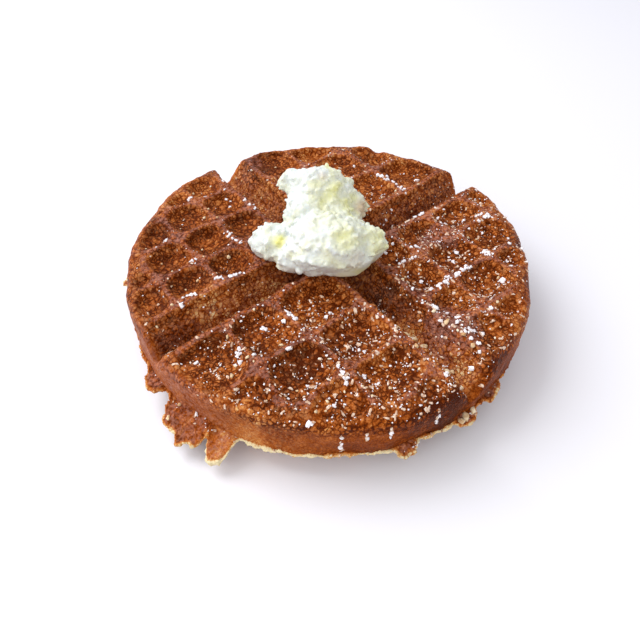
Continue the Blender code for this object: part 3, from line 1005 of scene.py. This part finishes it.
crumbSettings = {
    # crumbs lying on the waffle: right, away and size, in mm
    "crumbs": [
        (27, -40, 3.0), (29, -46, 2.6), (34, -42, 2.6), (37, -46, 3.2), (35, -50, 2.0), (42, -62, 3.4),
        (46, -58, 1.8), (47, -66, 2.0), (50, -72, 2.8), (53, -70, 2.4), (48, -74, 2.0), (25, -36, 1.6),
        (31, -55, 1.6), (40, -54, 2.0), (-35, -65, 1.3), (-18, -52, 1.6), (-43, -3, 1.8), (-57, 24, 1.7),
        (30, -20, 1.7), (-64, -66, 2.2), (-66, -63, 1.6), (-61, -70, 1.8), (-57, -66, 1.4), (-93, 2.5, 2.4),
        (-91, 0.5, 1.8), (-92, 4.5, 1.6), (40, -38, 1.6), (44, -44, 2.2), (49, -50, 1.6), (52, -54, 2.0),
        (38, -45, 1.5),
    ],
    "kinds": 6,
    "loose": 110,               # small ones placed at random
    "looseSizes": (0.6, 1.3),
}


def crumbLumps():
    # rounder than the sugar, and modelled once in the same way
    lumps = []
    for k in range(crumbSettings["kinds"]):
        deselectAll()
        bpy.ops.mesh.primitive_ico_sphere_add(subdivisions=2, radius=0.5)
        bpy.ops.object.mode_set(mode="EDIT")
        bpy.ops.transform.vertex_random(offset=0.13, uniform=0.4, normal=0.6, seed=k + 3)
        lumps.append(takeShape())
    return lumps


def scatterCrumbs():
    s = crumbSettings
    rng = random.Random(21)
    places = []
    spots = [(right * mm, ahead * mm, size * mm) for right, ahead, size in s["crumbs"]]
    for k in range(s["loose"]):
        r = 80 * mm * math.sqrt(rng.random())
        angle = rng.uniform(0, 2 * math.pi)
        spots.append((r * math.cos(angle), r * math.sin(angle), rng.uniform(*s["looseSizes"]) * mm))
    for right, ahead, size in spots:
        hit, normal = dropPlace(modelPoint(right, ahead))
        if hit:
            places.append(restingMatrix(hit, normal, size, rng.uniform(0.9, 1.4), rng))
    piece = joinCopies("batterCrumbs", crumbLumps(), places, toastedCrumb())
    piece.data.shade_smooth()
    print("crumbs strewn:", len(places))


scatterCrumbs()


stageSettings = {
    "floorWidth": 6,            # in metres, enough to fill the view of the camera below
    "floorColour": "#E3E3E6",
    "worldColour": "#F6F7FF",
    "worldStrength": 0.72,
    # where each light stands, in metres to the right, away and up, and how wide it is
    "lights": {
        "windowLight": {"at": (-0.75, 0.45, 0.95), "size": 0.9, "power": 15, "colour": "#FAFAFF"},
        "frontFill": {"at": (-0.9, -0.6, 0.7), "size": 0.9, "power": 5, "colour": "#FFF8F0"},
        "rightFill": {"at": (0.6, -0.9, 0.8), "size": 0.9, "power": 3.5, "colour": "#FFF8F0"},
    },
}


def setStage():
    s = stageSettings
    deselectAll()
    bpy.ops.mesh.primitive_plane_add(size=s["floorWidth"], location=(0, 0, 0))
    floor = bpy.context.object
    floor.name = "floor"
    material, tree = newMaterial("palePlaster")
    addSurface(tree, {"Base Color": hexColour(s["floorColour"]), "Roughness": 0.6})
    floor.data.materials.append(material)

    world = bpy.data.worlds.new("studio")
    bpy.context.scene.world = world
    world.use_nodes = True
    background = world.node_tree.nodes["Background"]
    background.inputs["Color"].default_value = hexColour(s["worldColour"])
    background.inputs["Strength"].default_value = s["worldStrength"]

    for name, settings in s["lights"].items():
        light = bpy.data.lights.new(name, "AREA")
        light.size = settings["size"]
        light.energy = settings["power"]
        light.color = hexColour(settings["colour"])[:3]
        lamp = bpy.data.objects.new(name, light)
        lamp.location = modelPoint(*settings["at"])
        aim = Vector((0, 0, waffleTop)) - lamp.location
        lamp.rotation_euler = aim.to_track_quat("-Z", "Y").to_euler()
        bpy.context.scene.collection.objects.link(lamp)


def setCamera():
    s = cameraSettings
    camera = bpy.data.objects.new("camera", bpy.data.cameras.new("camera"))
    camera.data.lens = s["focalLength"]
    camera.data.sensor_width = 36
    camera.data.clip_start = 0.01
    camera.location = modelPoint(s["aside"], -s["inFront"], s["height"])
    tilt = math.radians(s["tiltDown"])
    turn = Matrix.Rotation(math.radians(-s["turn"]), 4, "Z")
    look = Matrix.Rotation(math.pi / 2 - tilt, 4, "X")
    roll = Matrix.Rotation(math.radians(s["roll"]), 4, "Z")
    camera.rotation_euler = (turn @ look @ roll).to_euler()
    bpy.context.scene.collection.objects.link(camera)
    bpy.context.scene.camera = camera


setStage()
setCamera()
bpy.context.scene.view_settings.view_transform = "Standard"
